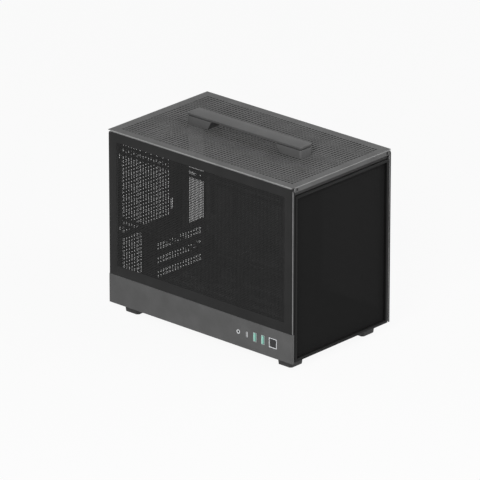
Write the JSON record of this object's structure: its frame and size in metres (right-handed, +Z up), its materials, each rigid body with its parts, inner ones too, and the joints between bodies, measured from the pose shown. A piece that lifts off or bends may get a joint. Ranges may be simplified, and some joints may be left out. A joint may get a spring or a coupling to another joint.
{
  "type": "mini-itx computer case",
  "caption": "Upright steel computer case with a carrying handle, vented lid and panels that come off, dust filters, and open bays for a mini-ITX board and a small power supply.",
  "frame": {"origin": "on the floor, under the middle of the case's outline", "axes": "+Z up, the front with its filter faces -Y, the side with the sockets and power button faces -X, the rear wall with the card slots faces +Y"},
  "size_m": [0.2, 0.336, 0.2835],
  "materials": {
    "steel": "satin powder coat",
    "panel": "satin powder coat, finely perforated",
    "grip": "fine matt",
    "foot": "matt",
    "filter_frame": "matt",
    "filter_cloth": "fine nylon mesh",
    "screw": "black, satin",
    "standoff": "turned",
    "board": "solder mask",
    "shell": "plated",
    "tongue_green": "moulded",
    "tongue_dark": "moulded",
    "socket": "moulded",
    "bezel": "satin",
    "button": "satin"
  },
  "bodies": {
    "chassis": {"audio_jack": "socket", "base_pan": "steel", "board_standoffs": "standoff", "board_tray": "steel", "button_bezel": "bezel", "button_switch": "tongue_dark", "card_support": "steel", "card_support_screws": "screw", "fan_bar_lower": "steel", "fan_bar_screws": "screw", "fan_bar_upper": "steel", "foot_front_left": "foot", "foot_front_right": "foot", "foot_rear_left": "foot", "foot_rear_right": "foot", "foot_screws": "screw", "front_post": "steel", "front_wall": "steel", "io_board": "board", "io_strip": "steel", "psu_bracket": "steel", "rear_wall": "steel", "side_rail": "steel", "slot_cover_1": "steel", "slot_cover_2": "steel", "slot_cover_3": "steel", "slot_thumb_screws": "screw", "usb_a_shells": "shell", "usb_a_tongues": "tongue_green", "usb_c_shell": "shell", "usb_c_tongue": "tongue_dark"},
    "cover": {"top_cover": "steel", "cover_skirt_left": "steel", "cover_skirt_right": "steel", "cover_front_rim": "steel", "cover_rear_rim": "steel", "handle_strap": "grip", "handle_block_front": "grip", "handle_block_rear": "grip", "handle_screws": "screw"},
    "top_filter": {"top_filter_frame": "filter_frame", "top_filter_cloth": "filter_cloth"},
    "left_side": {"left_panel": "panel", "left_panel_studs": "grip"},
    "right_side": {"right_panel": "panel", "right_panel_studs": "grip"},
    "front_filter": {"front_filter_frame": "filter_frame", "front_filter_cloth": "filter_cloth"},
    "bottom_filter": {"bottom_filter_frame": "filter_frame", "bottom_filter_cloth": "filter_cloth"},
    "button": {"power_button": "button"}
  },
  "joints": [
    {"name": "cover_lift", "type": "slide", "parent": "chassis", "child": "cover", "axis": [0, 0, 1], "range_m": [0, 0.134]},
    {"name": "top_filter_lift", "type": "slide", "parent": "chassis", "child": "top_filter", "axis": [0, 0, 1], "range_m": [0, 0.0651]},
    {"name": "left_panel_pull", "type": "slide", "parent": "chassis", "child": "left_side", "axis": [-1, 0, 0], "range_m": [0, 0.196]},
    {"name": "right_panel_pull", "type": "slide", "parent": "chassis", "child": "right_side", "axis": [1, 0, 0], "range_m": [0, 0.16]},
    {"name": "front_filter_pull", "type": "slide", "parent": "chassis", "child": "front_filter", "axis": [0, -1, 0], "range_m": [0, 0.146]},
    {"name": "bottom_filter_draw", "type": "slide", "parent": "chassis", "child": "bottom_filter", "axis": [0, 1, 0], "range_m": [0, 0.2]},
    {"name": "power_press", "type": "slide", "parent": "chassis", "child": "button", "axis": [1, 0, 0], "range_m": [0, 0.0012], "stiffness_N_per_m": 800}
  ],
  "couplings": [
    {"joint": "top_filter_lift", "follows": "cover_lift", "ratio": 0.485}
  ]
}
